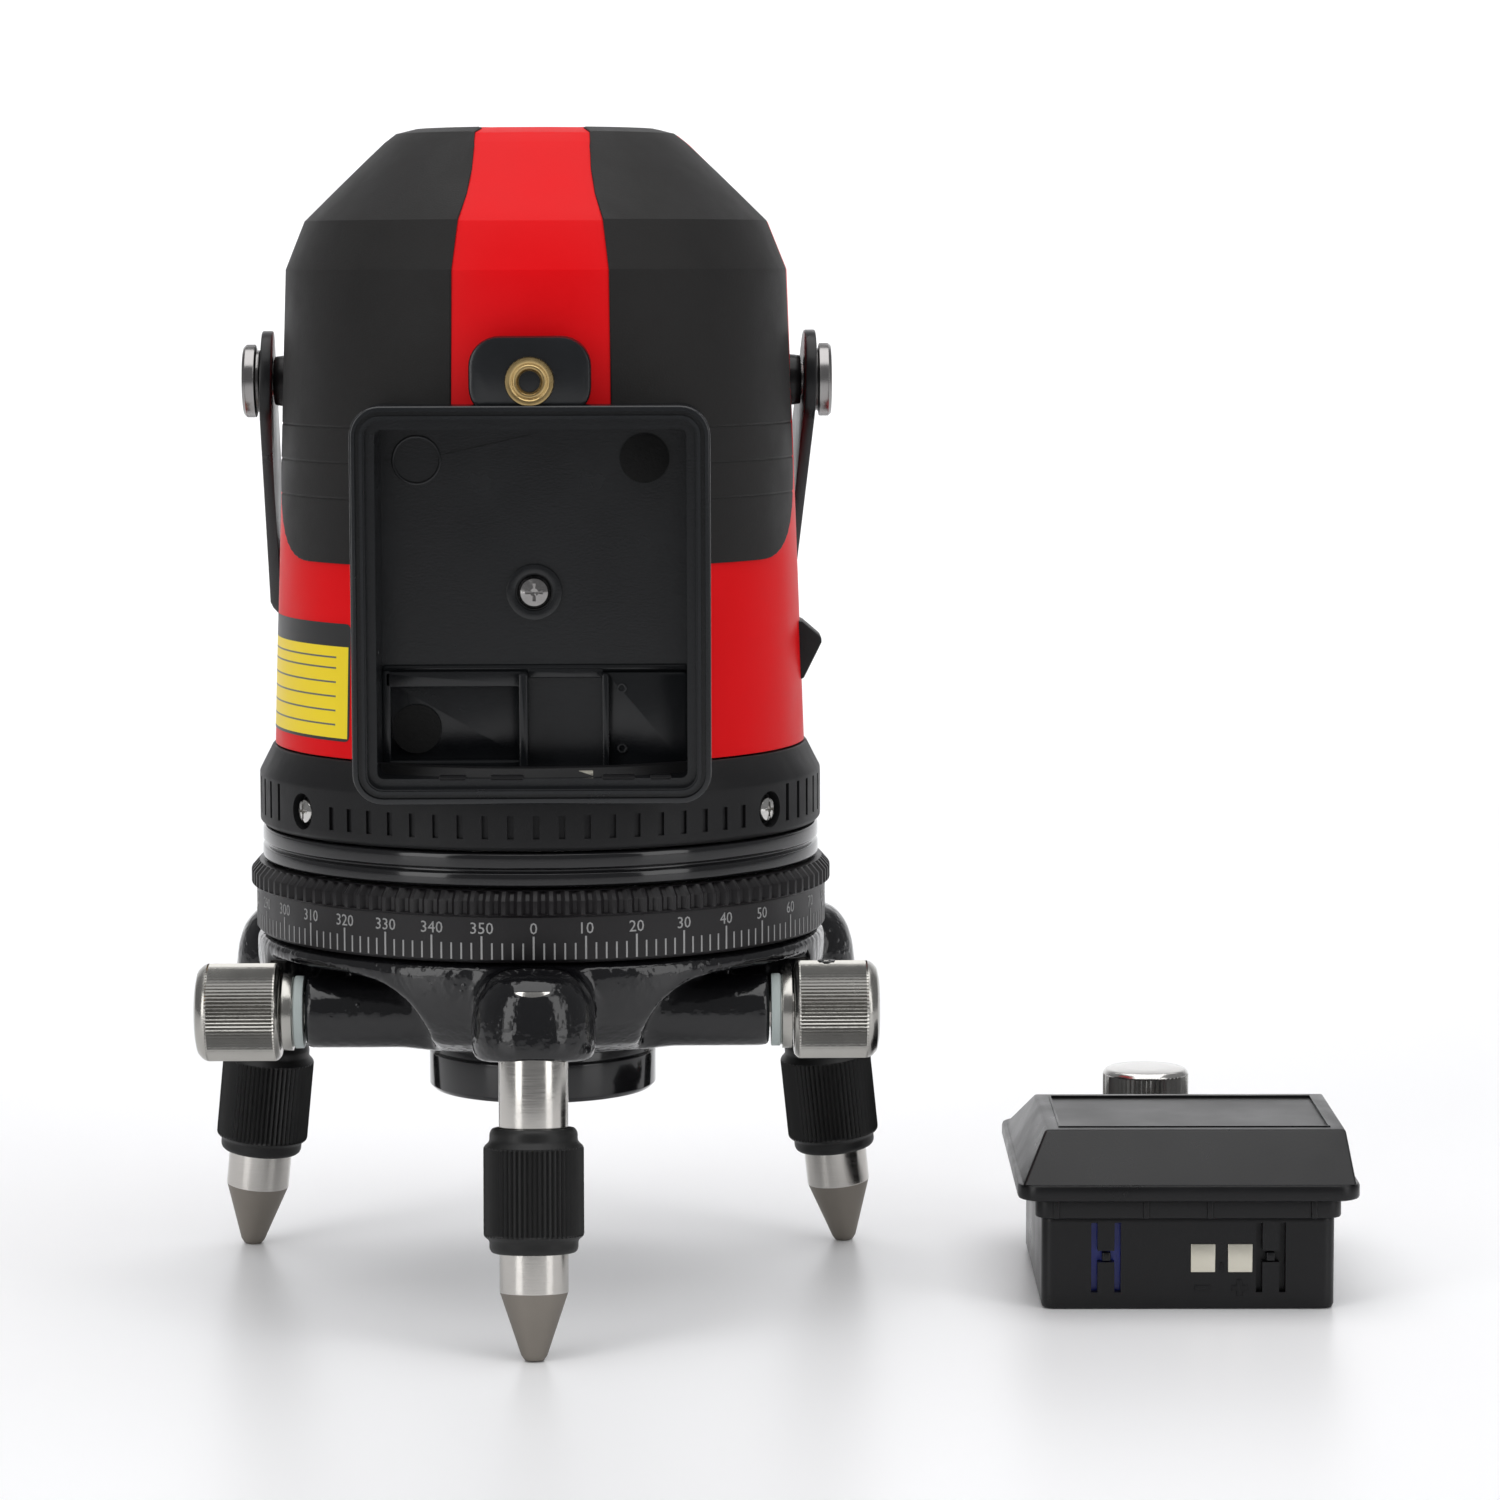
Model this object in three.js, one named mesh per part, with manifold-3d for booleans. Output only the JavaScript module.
// Multi-line laser level on a graduated rotating base, with its battery pack beside it.
// Millimetres, +Z up. The instrument stands on its three feet, with the battery bay facing -Y.
import * as THREE from 'three';
import { mergeVertices } from 'three/addons/utils/BufferGeometryUtils.js';
import Module from 'manifold-3d';

const wasm = await Module();
wasm.setup();

// ---------------------------------------------------------------- driving dimensions

// Where the instrument's plumb axis and the battery pack stand in the part's frame.
const PLUMB_AXIS = { x: -40.9, y: 5.4 };
const PACK_CENTRE = { x: 112.5, y: 0.6 };
const PACK_TURN = -1.4;        // degrees about +Z

const GAP = 0.3;               // clearance between neighbouring pieces
const FINE = 32;               // facets round a large turned piece
const MEDIUM = 16;             // facets round a small turned piece
const COARSE = 10;             // facets round a pin or hole

// Base casting, tripod socket and fine-adjustment drive
const CASTING = { radius: 50, bottom: 45.4, top: 63.8, chamberRadius: 25.5, floor: 49.2 };
const HUB = { radius: 20, bottom: 35, top: 45.1, boreRadius: 6.9 };
const SHAFT = { y: -27.5, z: 52.6, radius: 3, tubeRadius: 6.2, tubeEnd: 39.6, boreRadius: 3.4 };
const WORM = { pitchRadius: 5, module: 1, length: 15, wheelTeeth: 45 };
const KNOB = { radius: 8.35, inner: 43.8, outer: 58.5, neckRadius: 6.7, neck: 2.2 };

// Screw legs
const LEG = { count: 3, tipRadius: 63.2, splay: 0.12, firstAngle: -90 };
const POST = { radius: 5.75, bore: 4.2, bottom: 28, top: 61 };
const SLEEVE = { radius: 8.3, bore: 6.05, bottom: 17.8, top: 38.4 };
const FOOT = { radius: 5.7, stem: 3.9, coneStart: 11.4, shoulder: 24, stemTop: 50, tip: 1.5 };
const BOSS = { radius: 10.4, bottom: 49.2, shoulder: 56.4, top: 64.7, inset: 3.7 };

// Graduated ring and the turret's rings
const SCALE_RING = { radius: 50, flange: 50.6, bottom: 64.1, lip: 72.2, top: 76.2, bore: 29.5 };
const COLLAR = { radius: 48.8, bottom: 76.5, top: 82.4, groove: 79.4 };
const RIB_RING = { radius: 49.2, topRadius: 46.8, bottom: 82.7, shoulder: 91.8, top: 96.5, bore: 44.4 };
const RING_SCREW = { z: 87.3, angle: 54, pocket: 3.1, head: 2.4 };

// Housing: [radius, height] of the outer surface from the bottom edge to the crown
const HOUSING = [
  [46.4, 96.8],
  [45.4, 125],
  [43.6, 177],
  [43.2, 180],
  [40.2, 187],
  [26.6, 200.3],
  [24.6, 201.9],
  [21.4, 202.9],
];
const WALL = 2.3;
const PANEL = { thickness: 1.2, proud: 0.25, stripe: 17.4, sideStripe: 9.5, bottom: 129.6, cornerLow: 17 };

// Battery bay, in the turret's -Y side
const BAY = { half: 29.65, bottom: 91, top: 156.7, face: -52, back: -28.6, corner: 5 };
const RECESS = { half: 27.3, bottom: 93.3, top: 154.6, depth: 3, corner: 4 };
const CAVITY = { half: 25.6, bottom: 94.4, top: 153.6, back: -30.4, corner: 2.5 };
const TAB = { half: 10.05, top: 168, face: -50.2, back: -42.8, corner: 5, insertZ: 160.6 };

// Bail handle: it leans back against the housing, and a little to -X on its loose pivots
const HANDLE = { pivotZ: 159.6, halfWidth: 48.2, thickness: 2, reach: 66.2, halfBand: 8.7, corner: 9 };
const HANDLE_REST = 36.7;      // degrees below the horizontal
const HANDLE_LEAN = 0.045;     // sideways shift for each unit of reach

// Pendulum
const GIMBAL = { z: 165, inner: 21.5, outer: 24.2, halfHeight: 2.6, pin: 1.5 };

// Battery pack, lying on its plug side
const PACK = { half: 25.3, front: -29.3, rear: 24.4, top: 16.1, wall: 1.7 };
const PACK_STEP = { half: 26.4, front: -30.3, rear: 30, top: 19.5 };
const PACK_FLANGE = { half: 29.5, halfLength: 32.85, top: 22.3, tabTop: 23.9, tabHalf: 10, tabEnd: 47 };
const PACK_COVER = { foot: [-28.6, -31.6, 28.6, 28.2], crown: [-24.4, -23.4, 27.6, 11.6], top: 30.6 };
const PACK_SCREW = { x: -2.2, y: 39.4, radius: 7.95, bottom: 24.4, top: 30.7, shank: 1.95, end: 8 };

// ---------------------------------------------------------------- materials

function finish(colour, roughness, metalness) {
  return new THREE.MeshStandardMaterial({ color: colour, roughness, metalness });
}

const blackPaint = finish(0x0b0b0c, 0.22, 0.1);
const blackPlastic = finish(0x17181a, 0.45, 0);
const blackRubber = finish(0x2b2b2b, 0.75, 0);
const redPlastic = finish(0xe0161d, 0.4, 0);
const chrome = finish(0xc4c2bd, 0.28, 1);
const steel = finish(0xa9a7a2, 0.32, 1);
const footSteel = finish(0x8b8780, 0.5, 0.9);
const brass = finish(0xc79a45, 0.3, 1);
const bronze = finish(0xa8713a, 0.4, 1);
const aluminium = finish(0xb4b7ba, 0.4, 1);
const copper = finish(0xb9683f, 0.4, 1);
const magnetPlating = finish(0x9c9da0, 0.3, 1);
const greyPlastic = finish(0xaab3b0, 0.5, 0);
const clearGlass = finish(0x9fb4b8, 0.05, 0);
const vialLiquid = finish(0xa9cf3a, 0.1, 0);
const keyRubber = finish(0x3a3c40, 0.65, 0);
const boardGreen = finish(0x1d5a36, 0.5, 0);
const cellWrap = finish(0x1b3f9c, 0.35, 0);

// ---------------------------------------------------------------- solids

const degrees = THREE.MathUtils.degToRad;

// A closed, outward-facing copy of a geometry that holds positions only.
function closed(source) {
  const bare = source.clone();
  bare.deleteAttribute('normal');
  bare.deleteAttribute('uv');
  const merged = mergeVertices(bare, 1e-4);
  merged.clearGroups();
  const at = merged.attributes.position;
  const corner = [new THREE.Vector3(), new THREE.Vector3(), new THREE.Vector3()];
  const kept = [];
  let volume = 0;
  for (let i = 0; i < merged.index.count; i += 3) {
    const ids = [0, 1, 2].map((k) => merged.index.getX(i + k));
    if (new Set(ids).size < 3) continue;
    ids.forEach((id, k) => corner[k].fromBufferAttribute(at, id));
    volume += corner[0].dot(corner[1].clone().cross(corner[2]));
    kept.push(ids);
  }
  if (volume < 0) kept.forEach((ids) => ids.reverse());
  merged.setIndex(kept.flat());
  return merged;
}

function solid(geometry) {
  const shape = closed(geometry);
  const vertProperties = Float32Array.from(shape.attributes.position.array);
  const triVerts = Uint32Array.from(shape.index.array);
  return new wasm.Manifold(new wasm.Mesh({ numProp: 3, vertProperties, triVerts }));
}

function geometryOf(manifold) {
  const mesh = manifold.getMesh();
  const geometry = new THREE.BufferGeometry();
  geometry.setAttribute('position', new THREE.BufferAttribute(Float32Array.from(mesh.vertProperties), 3));
  geometry.setIndex(Array.from(mesh.triVerts));
  return geometry;
}

function union(...solids) {
  return solids.reduce((whole, next) => whole.add(next));
}

function cut(whole, ...tools) {
  return tools.reduce((rest, tool) => rest.subtract(tool), whole);
}

// A profile of [radius, height] points turned about Z. It ends on the axis or closes on itself.
function turned(profile, facets = FINE) {
  const points = profile.map(([r, z]) => new THREE.Vector2(r, z));
  const touchesAxis = profile[0][0] === 0 && profile.at(-1)[0] === 0;
  if (!touchesAxis) points.push(points[0].clone());
  return new THREE.LatheGeometry(points, facets).rotateX(Math.PI / 2);
}

function ring(inner, outer, z0, z1, facets = FINE) {
  return turned([[inner, z0], [outer, z0], [outer, z1], [inner, z1]], facets);
}

function disc(radius, z0, z1, facets = MEDIUM) {
  return turned([[0, z0], [radius, z0], [radius, z1], [0, z1]], facets);
}

function box(x0, x1, y0, y1, z0, z1) {
  const geometry = new THREE.BoxGeometry(x1 - x0, y1 - y0, z1 - z0);
  return geometry.translate((x0 + x1) / 2, (y0 + y1) / 2, (z0 + z1) / 2);
}

// A rod along X or along Y, made from a disc along Z.
function rodX(radius, x0, x1, y, z, facets = COARSE) {
  return disc(radius, x0, x1, facets).rotateY(Math.PI / 2).translate(0, y, z);
}

function rodY(radius, y0, y1, x, z, facets = COARSE) {
  return disc(radius, -y1, -y0, facets).rotateX(Math.PI / 2).translate(x, 0, z);
}

function roundedRect(x0, y0, x1, y1, r) {
  const shape = new THREE.Shape();
  shape.absarc(x1 - r, y0 + r, r, -Math.PI / 2, 0);
  shape.absarc(x1 - r, y1 - r, r, 0, Math.PI / 2);
  shape.absarc(x0 + r, y1 - r, r, Math.PI / 2, Math.PI);
  shape.absarc(x0 + r, y0 + r, r, Math.PI, Math.PI * 1.5);
  return shape;
}

function slabXY(shape, z0, z1, curveSegments = 5) {
  const options = { depth: z1 - z0, bevelEnabled: false, curveSegments };
  return new THREE.ExtrudeGeometry(shape, options).translate(0, 0, z0);
}

// The shape is drawn in X and Z, and reaches from y0 to y1.
function slabXZ(shape, y0, y1, curveSegments = 5) {
  const options = { depth: y1 - y0, bevelEnabled: false, curveSegments };
  return new THREE.ExtrudeGeometry(shape, options).rotateX(Math.PI / 2).translate(0, y1, 0);
}

// The shape is drawn in Y and Z, and reaches from x0 to x1.
function slabYZ(shape, x0, x1, curveSegments = 5) {
  const options = { depth: x1 - x0, bevelEnabled: false, curveSegments };
  const turn = new THREE.Matrix4().set(0, 0, 1, x0, 1, 0, 0, 0, 0, 1, 0, 0, 0, 0, 0, 1);
  return new THREE.ExtrudeGeometry(shape, options).applyMatrix4(turn);
}

// A wedge of space between two radii whose outline is given as [angle in degrees, height].
function polarPrism(outline, inner, outer) {
  const flat = outline.map(([angle, z]) => new THREE.Vector2(angle, z));
  const faces = THREE.ShapeUtils.triangulateShape(flat, []);
  const count = outline.length;
  const positions = [inner, outer].flatMap((r) => outline.flatMap(([angle, z]) => {
    const a = degrees(angle);
    return [r * Math.cos(a), r * Math.sin(a), z];
  }));
  const index = [];
  faces.forEach(([a, b, c]) => index.push(c, b, a, a + count, b + count, c + count));
  for (let i = 0; i < count; i += 1) {
    const next = (i + 1) % count;
    index.push(i, next, next + count, i, next + count, i + count);
  }
  const geometry = new THREE.BufferGeometry();
  geometry.setAttribute('position', new THREE.Float32BufferAttribute(positions, 3));
  geometry.setIndex(index);
  return geometry;
}

function mesh(name, shape, material) {
  const geometry = shape.isBufferGeometry ? closed(shape) : geometryOf(shape);
  const piece = new THREE.Mesh(geometry, material);
  piece.name = name;
  return piece;
}

// ---------------------------------------------------------------- legs

const legNames = ['front', 'right', 'left'];
const legAngles = legNames.map((_, i) => degrees(LEG.firstAngle + (i * 360) / LEG.count));

// Maps a leg's own frame, tip at the origin and post along +Z, to its place in the base.
function legMatrix(angle) {
  const tip = new THREE.Vector3(Math.cos(angle), Math.sin(angle), 0).multiplyScalar(LEG.tipRadius);
  const along = new THREE.Vector3(-LEG.splay * Math.cos(angle), -LEG.splay * Math.sin(angle), 1).normalize();
  const turn = new THREE.Quaternion().setFromUnitVectors(new THREE.Vector3(0, 0, 1), along);
  return new THREE.Matrix4().compose(tip, turn, new THREE.Vector3(1, 1, 1));
}

function legPieces(name, angle) {
  const place = legMatrix(angle);
  const post = turned([
    [0, POST.top - 2], [POST.bore, POST.top - 3], [POST.bore, POST.bottom], [POST.radius, POST.bottom],
    [POST.radius, POST.top], [0, POST.top],
  ], MEDIUM);
  const sleeve = turned([
    [SLEEVE.bore, SLEEVE.bottom], [SLEEVE.radius - 1.5, SLEEVE.bottom], [SLEEVE.radius, SLEEVE.bottom + 2.2],
    [SLEEVE.radius, SLEEVE.top - 2.2], [SLEEVE.radius - 1.6, SLEEVE.top], [SLEEVE.bore, SLEEVE.top],
  ], MEDIUM);
  const foot = turned([
    [0, -0.4], [FOOT.tip, -0.4], [FOOT.tip + 0.5, 0.6], [FOOT.radius, FOOT.coneStart],
    [FOOT.radius, FOOT.shoulder], [FOOT.stem, FOOT.shoulder],
    [FOOT.stem, FOOT.stemTop], [0, FOOT.stemTop],
  ], MEDIUM);
  const underFloor = solid(box(-90, 90, -90, 90, -5, 0));
  return [
    mesh(`leg_post_${name}`, post.applyMatrix4(place), steel),
    mesh(`leg_sleeve_${name}`, sleeve.applyMatrix4(place), blackPlastic),
    mesh(`leg_foot_${name}`, cut(solid(foot.applyMatrix4(place)), underFloor), footSteel),
  ];
}

const legs = legNames.flatMap((name, i) => legPieces(name, legAngles[i]));

// ---------------------------------------------------------------- base

// The wall is scooped away beside the front boss, so that the drive shaft's tube shows.
function shaftScoop(side) {
  const shape = new THREE.Shape();
  const inner = 17.5;
  const top = 60.6;
  const round = 13;
  shape.moveTo(inner, CASTING.bottom - 3);
  shape.lineTo(inner, top - round);
  shape.absarc(inner + round, top - round, round, Math.PI, Math.PI / 2, true);
  shape.lineTo(60, top);
  shape.lineTo(60, CASTING.bottom - 3);
  const block = solid(slabXZ(shape, -60, SHAFT.y + 10.5, 4));
  const keep = solid(disc(37, 40, 70, FINE));
  const scoop = cut(block, keep);
  return side > 0 ? scoop : solid(geometryOf(scoop).scale(-1, 1, 1));
}

function baseCasting() {
  const body = solid(turned([
    [0, CASTING.bottom], [24, CASTING.bottom], [36, 46.3], [44, 49.2], [48.6, 53.6], [CASTING.radius, 58.6],
    [CASTING.radius, CASTING.top], [CASTING.chamberRadius + 3.4, CASTING.top],
    [CASTING.chamberRadius + 3.4, 70], [0, 70],
  ]));
  const tube = solid(rodX(SHAFT.tubeRadius, -SHAFT.tubeEnd, SHAFT.tubeEnd, SHAFT.y, SHAFT.z));
  const bosses = legAngles.map((angle) => {
    const dome = turned([
      [0, BOSS.bottom], [BOSS.radius - 1, BOSS.bottom], [BOSS.radius, BOSS.bottom + 1.2],
      [BOSS.radius, BOSS.shoulder], [9.6, 60.2], [7.6, 63.2], [4.2, 64.5], [0, BOSS.top],
    ], MEDIUM);
    dome.translate(-BOSS.inset * Math.cos(angle), -BOSS.inset * Math.sin(angle), 0);
    return solid(dome.applyMatrix4(legMatrix(angle)));
  });
  const sockets = legAngles.map((angle) => (
    solid(disc(POST.radius + GAP, BOSS.bottom - 3, POST.top + GAP).applyMatrix4(legMatrix(angle)))
  ));
  const ringSpace = solid(ring(SCALE_RING.bore + 0.4, SCALE_RING.flange + 0.5, CASTING.top, 80));
  const chamber = solid(disc(CASTING.chamberRadius, CASTING.floor, 75, FINE));
  const plumbHole = solid(turned([
    [0, 40], [6.8, 40], [6.8, 47.6], [5, 47.6], [5, 60], [0, 60],
  ], MEDIUM));
  const wormSpace = solid(rodX(WORM.pitchRadius + 1.5, -9.5, 9.5, SHAFT.y, SHAFT.z));
  const shaftBore = solid(rodX(SHAFT.boreRadius, -60, 60, SHAFT.y, SHAFT.z));
  const shell = cut(union(body, ...bosses), shaftScoop(1), shaftScoop(-1));
  return cut(union(shell, tube), ...sockets, ringSpace, chamber, plumbHole, wormSpace, shaftBore);
}

function tripodHub() {
  return turned([
    [HUB.boreRadius + 0.8, HUB.bottom], [HUB.radius - 0.8, HUB.bottom], [HUB.radius, HUB.bottom + 0.8],
    [HUB.radius, HUB.top], [HUB.boreRadius, HUB.top], [HUB.boreRadius, HUB.bottom + 0.8],
  ], MEDIUM * 2);
}

function shaftBush(side) {
  const outer = KNOB.inner - GAP;
  const inner = SHAFT.tubeEnd + GAP;
  const bush = cut(
    solid(rodX(6.25, inner, outer, SHAFT.y, SHAFT.z, MEDIUM)),
    solid(rodX(SHAFT.boreRadius, inner - 1, outer + 1, SHAFT.y, SHAFT.z)),
  );
  return side > 0 ? bush : geometryOf(bush).scale(-1, 1, 1);
}

const base = [
  mesh('base_casting', baseCasting(), blackPaint),
  mesh('tripod_hub', tripodHub(), blackPaint),
  mesh('plumb_window', disc(6.5, 45.8, 47.3), clearGlass),
  mesh('shaft_bush_left', shaftBush(-1), greyPlastic),
  mesh('shaft_bush_right', shaftBush(1), greyPlastic),
];

// ---------------------------------------------------------------- fine-adjustment drive

const wormPitch = Math.PI * WORM.module;
const wheelPitchRadius = (WORM.module * WORM.wheelTeeth) / 2;

// The wheel's teeth are narrower than the gaps, so the worm's ridge runs clear in the middle of a gap.
function wormWheel() {
  const root = wheelPitchRadius - 1.15;
  const tip = wheelPitchRadius + 0.75;
  const shape = new THREE.Shape();
  const corners = [[-0.27, root], [-0.17, tip], [0.17, tip], [0.27, root]];
  for (let tooth = 0; tooth < WORM.wheelTeeth; tooth += 1) {
    for (const [across, r] of corners) {
      const angle = ((tooth + 0.5 + across) * 2 * Math.PI) / WORM.wheelTeeth - Math.PI / 2;
      const point = [r * Math.cos(angle), r * Math.sin(angle)];
      if (tooth === 0 && across === corners[0][0]) shape.moveTo(...point);
      else shape.lineTo(...point);
    }
  }
  shape.closePath();
  const rim = solid(slabXY(shape, SHAFT.z - 2, SHAFT.z + 2));
  const hub = solid(disc(14, CASTING.floor + GAP, 62, MEDIUM));
  return cut(union(rim, hub), solid(disc(9.3, 40, 70, MEDIUM)));
}

// A single-start ridge whose crest is at x = 0 on the wheel's side when the drive is at rest.
function wormThread() {
  const steps = 12;
  const turns = Math.floor(WORM.length / wormPitch) - 1;
  const section = [[-0.62, -1.3], [0.62, -1.3], [0.3, 0.75], [-0.3, 0.75]];
  const positions = [];
  const index = [];
  const last = turns * steps;
  for (let i = 0; i <= last; i += 1) {
    const angle = (i / steps) * 2 * Math.PI;
    const x = (i / steps - turns / 2) * wormPitch;
    const start = angle - turns * Math.PI;
    for (const [across, rise] of section) {
      const r = WORM.pitchRadius + rise;
      positions.push(x + across, r * Math.cos(start), r * Math.sin(start));
    }
  }
  for (let i = 0; i < last; i += 1) {
    for (let k = 0; k < 4; k += 1) {
      const [a, b] = [i * 4 + k, i * 4 + ((k + 1) % 4)];
      index.push(a, b, b + 4, a, b + 4, a + 4);
    }
  }
  index.push(0, 2, 1, 0, 3, 2);
  const end = last * 4;
  index.push(end, end + 1, end + 2, end, end + 2, end + 3);
  const geometry = new THREE.BufferGeometry();
  geometry.setAttribute('position', new THREE.Float32BufferAttribute(positions, 3));
  geometry.setIndex(index);
  return geometry.translate(0, SHAFT.y, SHAFT.z);
}

function wormShaft() {
  const rod = solid(rodX(SHAFT.radius, -56, 56, SHAFT.y, SHAFT.z));
  const core = solid(rodX(WORM.pitchRadius - 1.2, -WORM.length / 2, WORM.length / 2, SHAFT.y, SHAFT.z));
  return union(rod, core, solid(wormThread()));
}

// Knurled barrel with a domed end, turned about Z and then laid along the shaft.
function knob(side) {
  const length = KNOB.outer - KNOB.inner;
  const barrel = solid(turned([
    [0, 0], [KNOB.neckRadius, 0], [KNOB.neckRadius, KNOB.neck], [KNOB.radius - 0.7, KNOB.neck],
    [KNOB.radius, KNOB.neck + 0.7], [KNOB.radius, length - 1.6], [KNOB.radius - 1.5, length - 0.2], [0, length],
  ], MEDIUM));
  const bore = solid(disc(SHAFT.radius + GAP, -1, 56 - KNOB.inner + GAP, COARSE));
  let whole = cut(barrel, bore);
  if (side > 0) {
    const screwHole = rodX(1.5 + GAP, 2, 12, 0, 5.6, COARSE).rotateZ(Math.PI);
    whole = cut(whole, solid(screwHole));
  }
  const laid = geometryOf(whole).rotateY(Math.PI / 2).translate(KNOB.inner, SHAFT.y, SHAFT.z);
  return side > 0 ? laid : laid.scale(-1, 1, 1);
}

function grubScrew() {
  const x = KNOB.inner + 5.6;
  const z0 = SHAFT.z + SHAFT.radius + GAP;
  const screw = solid(disc(1.5, z0, SHAFT.z + KNOB.radius - 0.6, COARSE));
  const socket = solid(disc(0.8, SHAFT.z + KNOB.radius - 2.2, SHAFT.z + KNOB.radius, 6));
  return geometryOf(cut(screw, socket)).translate(x, SHAFT.y, 0);
}

const drive = [
  mesh('worm_wheel', wormWheel(), bronze),
  mesh('worm_shaft', wormShaft(), steel),
  mesh('knob_left', knob(-1), chrome),
  mesh('knob_right', knob(1), chrome),
  mesh('knob_grub_screw', grubScrew(), steel),
];

// ---------------------------------------------------------------- graduated ring

function graduatedRing() {
  return turned([
    [SCALE_RING.bore, SCALE_RING.bottom], [49.4, SCALE_RING.bottom], [SCALE_RING.radius, SCALE_RING.bottom + 0.6],
    [SCALE_RING.radius, SCALE_RING.lip], [SCALE_RING.flange, SCALE_RING.lip + 0.3],
    [SCALE_RING.flange, 74.8], [49.6, SCALE_RING.top], [46, SCALE_RING.top], [46, 67.6],
    [SCALE_RING.bore, 67.6],
  ]);
}

// ---------------------------------------------------------------- turret rings

function spindle() {
  return turned([
    [6.5, CASTING.floor + 0.6], [9, CASTING.floor + 0.6], [9, COLLAR.bottom + 3.3], [20, COLLAR.bottom + 3.3],
    [20, COLLAR.top - 0.4], [6.5, COLLAR.top - 0.4],
  ], MEDIUM);
}

function collarRing() {
  const r = COLLAR.radius;
  return turned([
    [9.3, COLLAR.bottom], [r - 0.6, COLLAR.bottom], [r, COLLAR.bottom + 0.5], [r, COLLAR.groove - 0.5],
    [r - 0.8, COLLAR.groove - 0.3], [r - 0.8, COLLAR.groove + 0.2], [r - 0.1, COLLAR.groove + 0.4],
    [r - 0.1, COLLAR.top], [44, COLLAR.top], [44, COLLAR.bottom + 3],
    [9.3, COLLAR.bottom + 3],
  ]);
}

function screwAngles() {
  return [-90 - RING_SCREW.angle, -90 + RING_SCREW.angle, 90 - RING_SCREW.angle, 90 + RING_SCREW.angle];
}

function ribbedRing() {
  const r = RIB_RING.radius;
  const body = solid(turned([
    [RIB_RING.bore, RIB_RING.bottom], [r - 0.7, RIB_RING.bottom], [r, RIB_RING.bottom + 0.7],
    [r, RIB_RING.shoulder], [RIB_RING.topRadius, RIB_RING.top], [RIB_RING.bore, RIB_RING.top],
  ]));
  const pockets = screwAngles().map((angle) => (
    solid(rodX(RING_SCREW.pocket, r - 1.9, r + 2, 0, RING_SCREW.z).rotateZ(degrees(angle)))
  ));
  const holes = screwAngles().map((angle) => (
    solid(rodX(1.2 + GAP, 40, r, 0, RING_SCREW.z).rotateZ(degrees(angle)))
  ));
  return cut(body, ...pockets, ...holes, bayOuter(GAP));
}

function ringScrew(angle) {
  const r = RIB_RING.radius;
  const head = solid(turned([
    [0, r - 1.9 + GAP], [RING_SCREW.head, r - 1.9 + GAP], [RING_SCREW.head, r - 0.9], [1.6, r - 0.35], [0, r - 0.2],
  ], COARSE));
  const shank = solid(disc(1.2, 41, r - 1, COARSE));
  const slots = [0, Math.PI / 2].map((turn) => solid(box(-1.2, 1.2, -0.25, 0.25, r - 1.1, r).rotateZ(turn)));
  const screw = cut(union(head, shank), ...slots);
  return geometryOf(screw).rotateY(Math.PI / 2).translate(0, 0, RING_SCREW.z).rotateZ(degrees(angle));
}

// ---------------------------------------------------------------- battery bay

// The bay's outer block with its tab, grown by a margin so that neighbours can be cut to clear it.
function bayOuter(margin) {
  const block = roundedRect(
    -BAY.half - margin, BAY.bottom - margin, BAY.half + margin, BAY.top + margin, BAY.corner + margin,
  );
  const tab = roundedRect(-TAB.half - margin, 150, TAB.half + margin, TAB.top + margin, TAB.corner + margin);
  const reach = margin > 0 ? 10 : 0;
  const back = margin > 0 ? BAY.back + margin : BAY.back;
  const tabBack = margin > 0 ? TAB.back + margin : TAB.back;
  return union(solid(slabXZ(block, BAY.face - reach, back)), solid(slabXZ(tab, TAB.face - reach, tabBack)));
}

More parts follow.
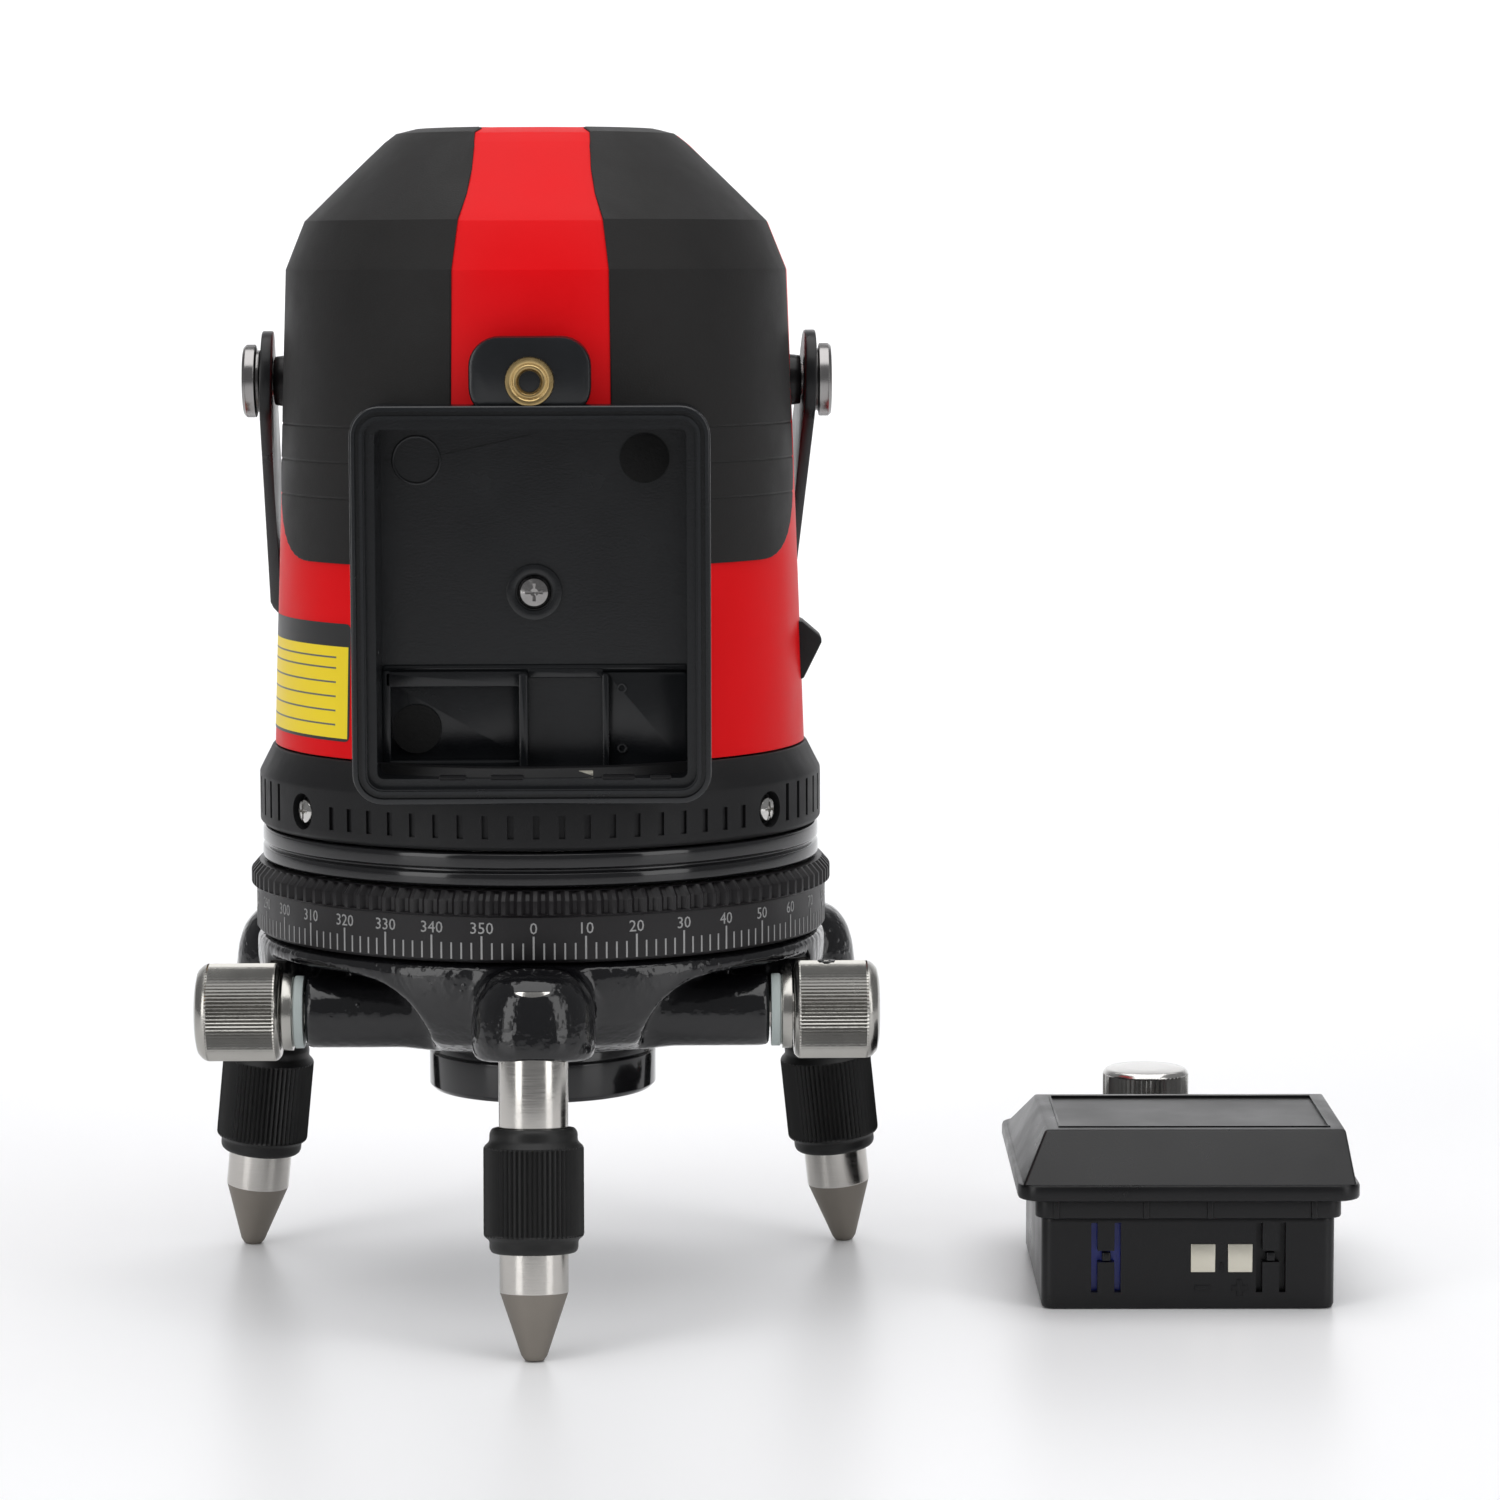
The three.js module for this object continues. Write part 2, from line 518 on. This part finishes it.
function batteryBay() {
  const groove = cut(
    solid(slabXZ(roundedRect(-28.8, 91.8, 28.8, 155.9, 4.4), BAY.face - 1, BAY.face + 1.1)),
    solid(slabXZ(roundedRect(-28.0, 92.6, 28.0, 155.2, 3.8), BAY.face - 2, BAY.face + 2)),
  );
  const recess = roundedRect(-RECESS.half, RECESS.bottom, RECESS.half, RECESS.top, RECESS.corner);
  const cavity = roundedRect(-CAVITY.half, CAVITY.bottom, CAVITY.half, CAVITY.top, CAVITY.corner);
  const hollow = solid(slabXZ(cavity, BAY.face - 1, CAVITY.back));
  const mouth = solid(slabXZ(recess, BAY.face - 1, BAY.face + RECESS.depth));
  const insertHole = solid(rodY(3.6 + GAP, TAB.face - 2, TAB.face + 6, 0, TAB.insertZ, MEDIUM));
  const screwWell = solid(rodY(3.1, -40, CAVITY.back + 0.9, 0, 125.8, MEDIUM));
  const screwHole = solid(rodY(1.5 + GAP, -40, -20, 0, 125.8));
  const shell = cut(bayOuter(0), hollow, mouth, groove, insertHole);
  // The lower wall steps forward, with a pocket and the contact channel sunk into the step.
  const ledge = new THREE.Shape();
  ledge.moveTo(CAVITY.back + 0.5, 113);
  ledge.lineTo(CAVITY.back - 2.2, 110);
  ledge.lineTo(CAVITY.back - 2.2, CAVITY.bottom - 0.5);
  ledge.lineTo(CAVITY.back + 0.5, CAVITY.bottom - 0.5);
  const step = solid(slabYZ(ledge, -CAVITY.half - 0.3, CAVITY.half + 0.3));
  const pocket = solid(box(-CAVITY.half, -2.2, -45, CAVITY.back - 0.6, CAVITY.bottom + 0.6, 109.2));
  const channel = solid(box(-1, 10.6, -45, CAVITY.back + 0.4, 92, 112.4));
  const outlet = solid(box(-1, 10.6, -45, CAVITY.back - 3, 92.9, 96));
  return cut(union(shell, cut(step, pocket)), channel, outlet, screwWell, screwHole);
}

function brassInsert() {
  const insert = turned([
    [1.65, 0.6], [2.3, -0.7], [3.9, -0.7], [3.9, -0.1], [3.6, 0], [3.6, 5.5], [1.65, 5.5],
  ], MEDIUM);
  return insert.rotateX(-Math.PI / 2).translate(0, TAB.face - 0.2, TAB.insertZ);
}

function bayScrew() {
  const head = solid(turned([[0, 0], [2.7, 0], [2.7, 0.7], [1.9, 1.4], [0, 1.6]], COARSE));
  const shank = solid(disc(1.5, -2, 0.5, COARSE));
  const slots = [0, Math.PI / 2].map((turn) => solid(box(-1.5, 1.5, -0.35, 0.35, 0.8, 2).rotateZ(turn)));
  const screw = cut(union(head, shank), ...slots);
  return geometryOf(screw).rotateX(Math.PI / 2).translate(0, CAVITY.back + 0.9 - GAP, 125.8);
}

// ---------------------------------------------------------------- housing

const shellBottom = HOUSING[0][1];
const shellTop = HOUSING.at(-1)[1];

// The housing's outer profile moved inwards by a distance.
function housingInset(distance) {
  return HOUSING.map(([r, z], i) => {
    const [r0, z0] = HOUSING[Math.max(i - 1, 0)];
    const [r1, z1] = HOUSING[Math.min(i + 1, HOUSING.length - 1)];
    const length = Math.hypot(r1 - r0, z1 - z0);
    return [r - ((z1 - z0) / length) * distance, z + ((r1 - r0) / length) * distance];
  });
}

// A skin of the housing between two depths below its outer surface.
function housingSkin(shallow, deep, facets = FINE) {
  return turned([...housingInset(deep), ...housingInset(shallow).reverse()], facets);
}

// A panel's outline between two stripes, with a large round lower corner at each side.
function panelOutline(centre, margin) {
  const low = PANEL.bottom - margin;
  const high = shellTop + 5;
  const half = (90 - PANEL.stripe - PANEL.sideStripe) / 2 + (margin / 45) * (180 / Math.PI);
  const toDegrees = 180 / (Math.PI * 45);
  const corner = PANEL.cornerLow;
  const steps = 4;
  const points = [];
  for (let i = 0; i <= steps; i += 1) {
    const a = (Math.PI / 2) * (i / steps);
    points.push([centre - half + corner * (1 - Math.sin(a)) * toDegrees, low + corner * (1 - Math.cos(a))]);
  }
  const left = points.reverse();
  const right = left.map(([angle, z]) => [2 * centre - angle, z]).reverse();
  const topCorner = (side) => [
    [centre + side * half, 191.5], [centre + side * (half - 0.8), 195.5],
    [centre + side * (half - 3), 199.5], [centre + side * (half - 6.5), high],
  ];
  const outline = [...left.reverse(), ...topCorner(-1)];
  return [...right, ...topCorner(1), ...outline.reverse()];
}

function panelCentres() {
  const fromSide = 45 - (PANEL.stripe - PANEL.sideStripe) / 2;
  return [fromSide - 180, -fromSide, fromSide, 180 - fromSide];
}

function rubberPanel(centre) {
  const skin = solid(housingSkin(-PANEL.proud, PANEL.thickness));
  const region = solid(polarPrism(panelOutline(centre, 0), 8, 62));
  return cut(skin.intersect(region), bayOuter(GAP), topOpening(GAP));
}

function topOpening(margin) {
  return solid(disc(20.6 + margin, 198, 206, FINE));
}

const domeWindow = { half: 7, length: 12, thickness: 1.4, r: 32.6, z: 193.7, tilt: 44.4 };

function domePlate(half, length, z0, z1) {
  const plate = box(-half, half, -length / 2, length / 2, z0, z1);
  return plate.rotateX(-degrees(domeWindow.tilt)).translate(0, domeWindow.r, domeWindow.z);
}

function redShell() {
  const outer = solid(turned([[0, shellBottom], ...HOUSING, [0, shellTop]]));
  const inner = solid(turned([[0, shellBottom - 1], [44.1, shellBottom - 1], ...housingInset(WALL), [0, shellTop - WALL]]));
  const pivotBosses = [-1, 1].map((side) => (
    solid(rodX(5, 42.6, HANDLE.halfWidth - HANDLE.thickness - GAP, 0, HANDLE.pivotZ).scale(side, 1, 1))
  ));
  const screwHoles = solid(rodX(2 + GAP, -60, 60, 0, HANDLE.pivotZ));
  const recesses = panelCentres().map((centre) => (
    solid(housingSkin(-1, PANEL.thickness + GAP)).intersect(solid(polarPrism(panelOutline(centre, GAP), 8, 62)))
  ));
  const window = solid(box(-9 - GAP, 9 + GAP, 30, 50, 148 - GAP, 176 + GAP));
  const slopeWindow = solid(domePlate(domeWindow.half + GAP, domeWindow.length + 2 * GAP, -6, 4));
  const switchSlot = solid(box(40, 50, -2.4, 2.4, 110.1, 120.6));
  const shell = union(cut(outer, inner), ...pivotBosses);
  return cut(
    shell, screwHoles, ...recesses, window, slopeWindow, switchSlot, bayOuter(GAP), topOpening(0),
  );
}

function handleScrew(side) {
  const inner = HANDLE.halfWidth + GAP;
  const head = solid(turned([
    [0, inner], [6.35, inner], [6.35, inner + 2.3], [5.9, inner + 2.8], [0, inner + 2.8],
  ], MEDIUM));
  const neck = solid(disc(3, HANDLE.halfWidth - HANDLE.thickness - GAP + 0.3, inner + 1, COARSE));
  const shank = solid(disc(2, 41, inner + 1, COARSE));
  const screw = union(head, neck, shank);
  const laid = geometryOf(screw).rotateY(Math.PI / 2).translate(0, 0, HANDLE.pivotZ);
  return side > 0 ? laid : laid.scale(-1, 1, 1);
}

// ---------------------------------------------------------------- keypad and inner frame

const keys = { radius: 3.6, x: 9.5, y: -6 };

function topPlate() {
  const plate = solid(turned([[0, 199.4], [20.2, 199.4], [20.2, 202.2], [19.6, 202.8], [0, 202.8]], FINE));
  const keyHoles = [-1, 1].map((side) => (
    solid(disc(keys.radius + GAP, 190, 210, COARSE).translate(side * keys.x, keys.y, 0))
  ));
  const vialHole = solid(disc(5.5 + GAP, 198, 210, MEDIUM).translate(0, 7.5, 0));
  return cut(plate, ...keyHoles, vialHole);
}

function bubbleVial() {
  return turned([[0, 196.5], [5.5, 196.5], [5.5, 202], [4.8, 202.6], [0, 202.9]], MEDIUM).translate(0, 7.5, 0);
}

function button(side) {
  const cap = turned([
    [0, 198.2], [keys.radius + 1.2, 198.2], [keys.radius + 1.2, 199], [keys.radius, 199.1], [keys.radius, 202.7],
    [keys.radius - 0.5, 203.2], [0, 203.3],
  ], COARSE);
  return cap.translate(side * keys.x, keys.y, 0);
}

function chassis() {
  const floor = cut(
    solid(ring(12.4, 42, 98, 100.6)),
    solid(box(-31, 31, -60, BAY.back + 1.2, 90, 110)),
  );
  const uprights = [-1, 1].map((side) => solid(box(27, 30, -8, 8, 100, 171).scale(side, 1, 1)));
  const feet = [-1, 1].map((side) => solid(box(20, 31, -8, 8, 100, 102).scale(side, 1, 1)));
  const posts = [45, 135, 270].map((angle) => (
    solid(disc(2, 100, 104.6, COARSE).translate(18 * Math.cos(degrees(angle)), 18 * Math.sin(degrees(angle)), 0))
  ));
  const bearings = solid(rodX(GIMBAL.pin + GAP, -40, 40, 0, GIMBAL.z));
  return cut(union(floor, ...uprights, ...feet, ...posts), bearings);
}

function gimbalRing() {
  const low = GIMBAL.z - GIMBAL.halfHeight;
  const high = GIMBAL.z + GIMBAL.halfHeight;
  const band = solid(ring(GIMBAL.inner, GIMBAL.outer, low, high));
  const pins = [-1, 1].map((side) => (
    solid(rodX(GIMBAL.pin, GIMBAL.inner + 0.8, 29.6, 0, GIMBAL.z).scale(side, 1, 1))
  ));
  const bearings = solid(rodY(GIMBAL.pin + GAP, -40, 40, 0, GIMBAL.z));
  return cut(union(band, ...pins), bearings);
}

const lasers = { radius: 4.4, horizontalZ: 157, verticalZ: 173.2 };

function pendulumFrame() {
  const block = solid(slabXY(roundedRect(-13, -14, 13, 14, 4), 150, 179));
  const stem = solid(disc(7, 114.6, 151, MEDIUM));
  const pins = solid(rodY(GIMBAL.pin, -GIMBAL.outer, GIMBAL.outer, 0, GIMBAL.z));
  const bores = [lasers.horizontalZ, lasers.verticalZ].map((z) => (
    solid(rodY(lasers.radius + GAP, -20, 20, 0, z))
  ));
  const plumbBore = solid(disc(lasers.radius + GAP, 110, 148, COARSE));
  return cut(union(block, stem, pins), ...bores, plumbBore);
}

function laserModule(z) {
  const barrel = solid(rodY(lasers.radius, -15.5, 15.5, 0, z));
  const lensBore = solid(rodY(2.4, 13, 20, 0, z));
  const wireBore = solid(rodY(2.4, -20, -13, 0, z));
  return cut(barrel, lensBore, wireBore);
}

function plumbLaser() {
  return turned([[0, 118], [2.4, 118], [2.4, 116], [lasers.radius, 116], [lasers.radius, 146], [0, 146]], COARSE);
}

function lockSwitch() {
  const thumb = new THREE.Shape();
  thumb.moveTo(46.4, 108);
  thumb.lineTo(49.2, 113.5);
  thumb.lineTo(48.2, 115);
  thumb.lineTo(46.4, 117.2);
  const pad = new THREE.ExtrudeGeometry(thumb, { depth: 10, bevelEnabled: false });
  pad.rotateX(Math.PI / 2).translate(0, 5, 0);
  const stem = solid(box(41, 47, -2, 2, 110.5, 114.5));
  const guide = solid(box(40.2, 41.6, -6, 6, 107, 118.5));
  return union(solid(pad), stem, guide);
}

const inner = [
  mesh('chassis', chassis(), aluminium),
  mesh('damping_plate', ring(13, 22.5, 104.9, 106.2, MEDIUM), copper),
  mesh('main_board', box(-17, 17, -26.9, -25.3, 112, 158), boardGreen),
  mesh('gimbal_ring', gimbalRing(), aluminium),
  mesh('pendulum_frame', pendulumFrame(), aluminium),
  mesh('laser_horizontal', laserModule(lasers.horizontalZ), brass),
  mesh('laser_vertical', laserModule(lasers.verticalZ), brass),
  mesh('laser_plumb', plumbLaser(), brass),
  mesh('damping_magnet', ring(5.2, 9.5, 108, 114.3, MEDIUM), magnetPlating),
  mesh('lock_pad', ring(5.5, 11, 101.2, 104.2, MEDIUM), blackPlastic),
  mesh('lock_switch', lockSwitch(), blackPlastic),
];

// ---------------------------------------------------------------- handle

// A band bent to a U in its own plane, with round ends about the pivots.
function handle() {
  const { halfWidth: w, thickness: t, reach, corner, halfBand } = HANDLE;
  const outline = (half, length, radius) => {
    const shape = new THREE.Shape();
    shape.moveTo(-half, -20);
    shape.lineTo(half, -20);
    shape.absarc(half - radius, length - radius, radius, 0, Math.PI / 2);
    shape.absarc(-half + radius, length - radius, radius, Math.PI / 2, Math.PI);
    return shape;
  };
  const outer = solid(slabXY(outline(w, reach, corner), -halfBand, halfBand, 6));
  const hollow = solid(slabXY(outline(w - t, reach - t, corner - t), -30, 30, 6));
  const below = solid(box(-60, 60, -40, -19, -30, 30));
  const side = new THREE.Shape();
  side.absarc(0, 0, halfBand, Math.PI / 2, Math.PI * 1.5);
  side.lineTo(90, -halfBand);
  side.lineTo(90, halfBand);
  const ends = solid(slabYZ(side, -60, 60, 8));
  const pivots = solid(rodX(3 + GAP, -60, 60, 0, 0));
  const band = cut(cut(outer, hollow, below).intersect(ends), pivots);
  const lean = new THREE.Matrix4().set(1, -HANDLE_LEAN, 0, 0, 0, 1, 0, 0, 0, 0, 1, 0, 0, 0, 0, 1);
  return geometryOf(band).applyMatrix4(lean).rotateX(-degrees(HANDLE_REST)).translate(0, 0, HANDLE.pivotZ);
}

// ---------------------------------------------------------------- battery pack

function packCase() {
  const lower = roundedRect(-PACK.half, PACK.front, PACK.half, PACK.rear, 3);
  const step = roundedRect(-PACK_STEP.half, PACK_STEP.front, PACK_STEP.half, PACK_STEP.rear, 3);
  const flange = roundedRect(
    -PACK_FLANGE.half, -PACK_FLANGE.halfLength, PACK_FLANGE.half, PACK_FLANGE.halfLength, 4.5,
  );
  const tab = roundedRect(
    PACK_SCREW.x - PACK_FLANGE.tabHalf, 20, PACK_SCREW.x + PACK_FLANGE.tabHalf, PACK_FLANGE.tabEnd, 6,
  );
  const hollow = roundedRect(
    -PACK.half + PACK.wall, PACK.front + PACK.wall, PACK.half - PACK.wall, PACK.rear - PACK.wall, 1,
  );
  const body = union(
    solid(slabXY(lower, 0, PACK.top + 0.5, 3)),
    solid(slabXY(step, PACK.top, PACK_STEP.top + 0.5, 3)),
    solid(slabXY(flange, PACK_STEP.top, PACK_FLANGE.top, 3)),
    solid(slabXY(tab, PACK_STEP.top, PACK_FLANGE.tabTop, 3)),
  );
  const coverSeat = solid(box(-40, 40, -40, 28.6, PACK_FLANGE.top, 30));
  const slots = [-16.4, -12, 12, 16.4].map((x) => (
    solid(box(x - 0.75, x + 0.75, PACK.front - 1, PACK.front + 3, 3, 15.2))
  ));
  const screwHole = solid(disc(PACK_SCREW.shank + GAP, 10, 30, COARSE).translate(PACK_SCREW.x, PACK_SCREW.y, 0));
  return cut(body, solid(slabXY(hollow, PACK.wall, 30, 3)), coverSeat, ...slots, screwHole);
}

function packCover() {
  const z0 = PACK_FLANGE.top + GAP;
  const corners = ([x0, y0, x1, y1], z) => [x0, y0, z, x1, y0, z, x1, y1, z, x0, y1, z];
  const positions = [...corners(PACK_COVER.foot, z0), ...corners(PACK_COVER.crown, PACK_COVER.top)];
  const index = [0, 2, 1, 0, 3, 2, 4, 5, 6, 4, 6, 7];
  for (let i = 0; i < 4; i += 1) {
    const next = (i + 1) % 4;
    index.push(i, next, next + 4, i, next + 4, i + 4);
  }
  const block = new THREE.BufferGeometry();
  block.setAttribute('position', new THREE.Float32BufferAttribute(positions, 3));
  block.setIndex(index);
  const [x0, y0, x1, y1] = PACK_COVER.crown;
  const hollow = slabXY(roundedRect(x0 + 2, y0 + 2.4, x1 - 2, y1 - 2, 2), z0 - 1, PACK_COVER.top - 1.8, 3);
  const plate = slabXY(roundedRect(x0 + 2, y0 + 1.8, x1 - 5.2, y1 - 1.6, 1), PACK_COVER.top - 0.3, 32, 3);
  return cut(solid(block), solid(hollow), solid(plate));
}

function packScrew() {
  const r = PACK_SCREW.radius;
  const head = solid(turned([
    [0, PACK_SCREW.bottom], [r - 0.6, PACK_SCREW.bottom], [r, PACK_SCREW.bottom + 0.6],
    [r, PACK_SCREW.top - 0.8], [r - 1, PACK_SCREW.top - 0.1], [0, PACK_SCREW.top],
  ], MEDIUM));
  const shank = solid(turned([
    [0, PACK_SCREW.end], [PACK_SCREW.shank - 0.7, PACK_SCREW.end], [PACK_SCREW.shank, PACK_SCREW.end + 1],
    [PACK_SCREW.shank, PACK_SCREW.bottom + 0.6], [0, PACK_SCREW.bottom + 0.6],
  ], COARSE));
  return geometryOf(union(head, shank)).translate(PACK_SCREW.x, PACK_SCREW.y, 0);
}

function cell(x) {
  return rodY(9.1, PACK.front + 2.2, PACK.rear - 2.2, x, 11.4, MEDIUM);
}

const pack = new THREE.Group();
pack.position.set(PACK_CENTRE.x, PACK_CENTRE.y, 0);
pack.rotation.z = degrees(PACK_TURN);
pack.add(
  mesh('pack_case', packCase(), blackPlastic),
  mesh('pack_cover', packCover(), blackPlastic),
  mesh('battery_cell_left', cell(-14.2), cellWrap),
  mesh('battery_cell_right', cell(14.2), cellWrap),
  mesh('pack_screw', packScrew(), chrome),
);

// ---------------------------------------------------------------- assembly

const turret = [
  mesh('graduated_ring', graduatedRing(), blackPaint),
  mesh('spindle', spindle(), steel),
  mesh('collar_ring', collarRing(), blackPaint),
  mesh('ribbed_ring', ribbedRing(), blackPlastic),
  ...screwAngles().map((angle, i) => mesh(`ring_screw_${i + 1}`, ringScrew(angle), chrome)),
  mesh('red_shell', redShell(), redPlastic),
  ...panelCentres().map((centre, i) => mesh(`rubber_panel_${i + 1}`, rubberPanel(centre), blackRubber)),
  mesh('battery_bay', batteryBay(), blackPlastic),
  mesh('brass_insert', brassInsert(), brass),
  mesh('bay_screw', bayScrew(), chrome),
  mesh('front_window', box(-9, 9, 41.2, 42.6, 148, 176), clearGlass),
  mesh('dome_window', domePlate(domeWindow.half, domeWindow.length, -1.6, -0.2), clearGlass),
  mesh('top_plate', topPlate(), blackPlastic),
  mesh('bubble_vial', bubbleVial(), vialLiquid),
  mesh('button_left', button(-1), keyRubber),
  mesh('button_right', button(1), keyRubber),
  mesh('handle_screw_left', handleScrew(-1), chrome),
  mesh('handle_screw_right', handleScrew(1), chrome),
  mesh('handle', handle(), blackPlastic),
];

const laserLevel = new THREE.Group();
laserLevel.position.set(PLUMB_AXIS.x, PLUMB_AXIS.y, 0);
laserLevel.add(...legs, ...base, ...drive, ...turret, ...inner, pack);

export default laserLevel;
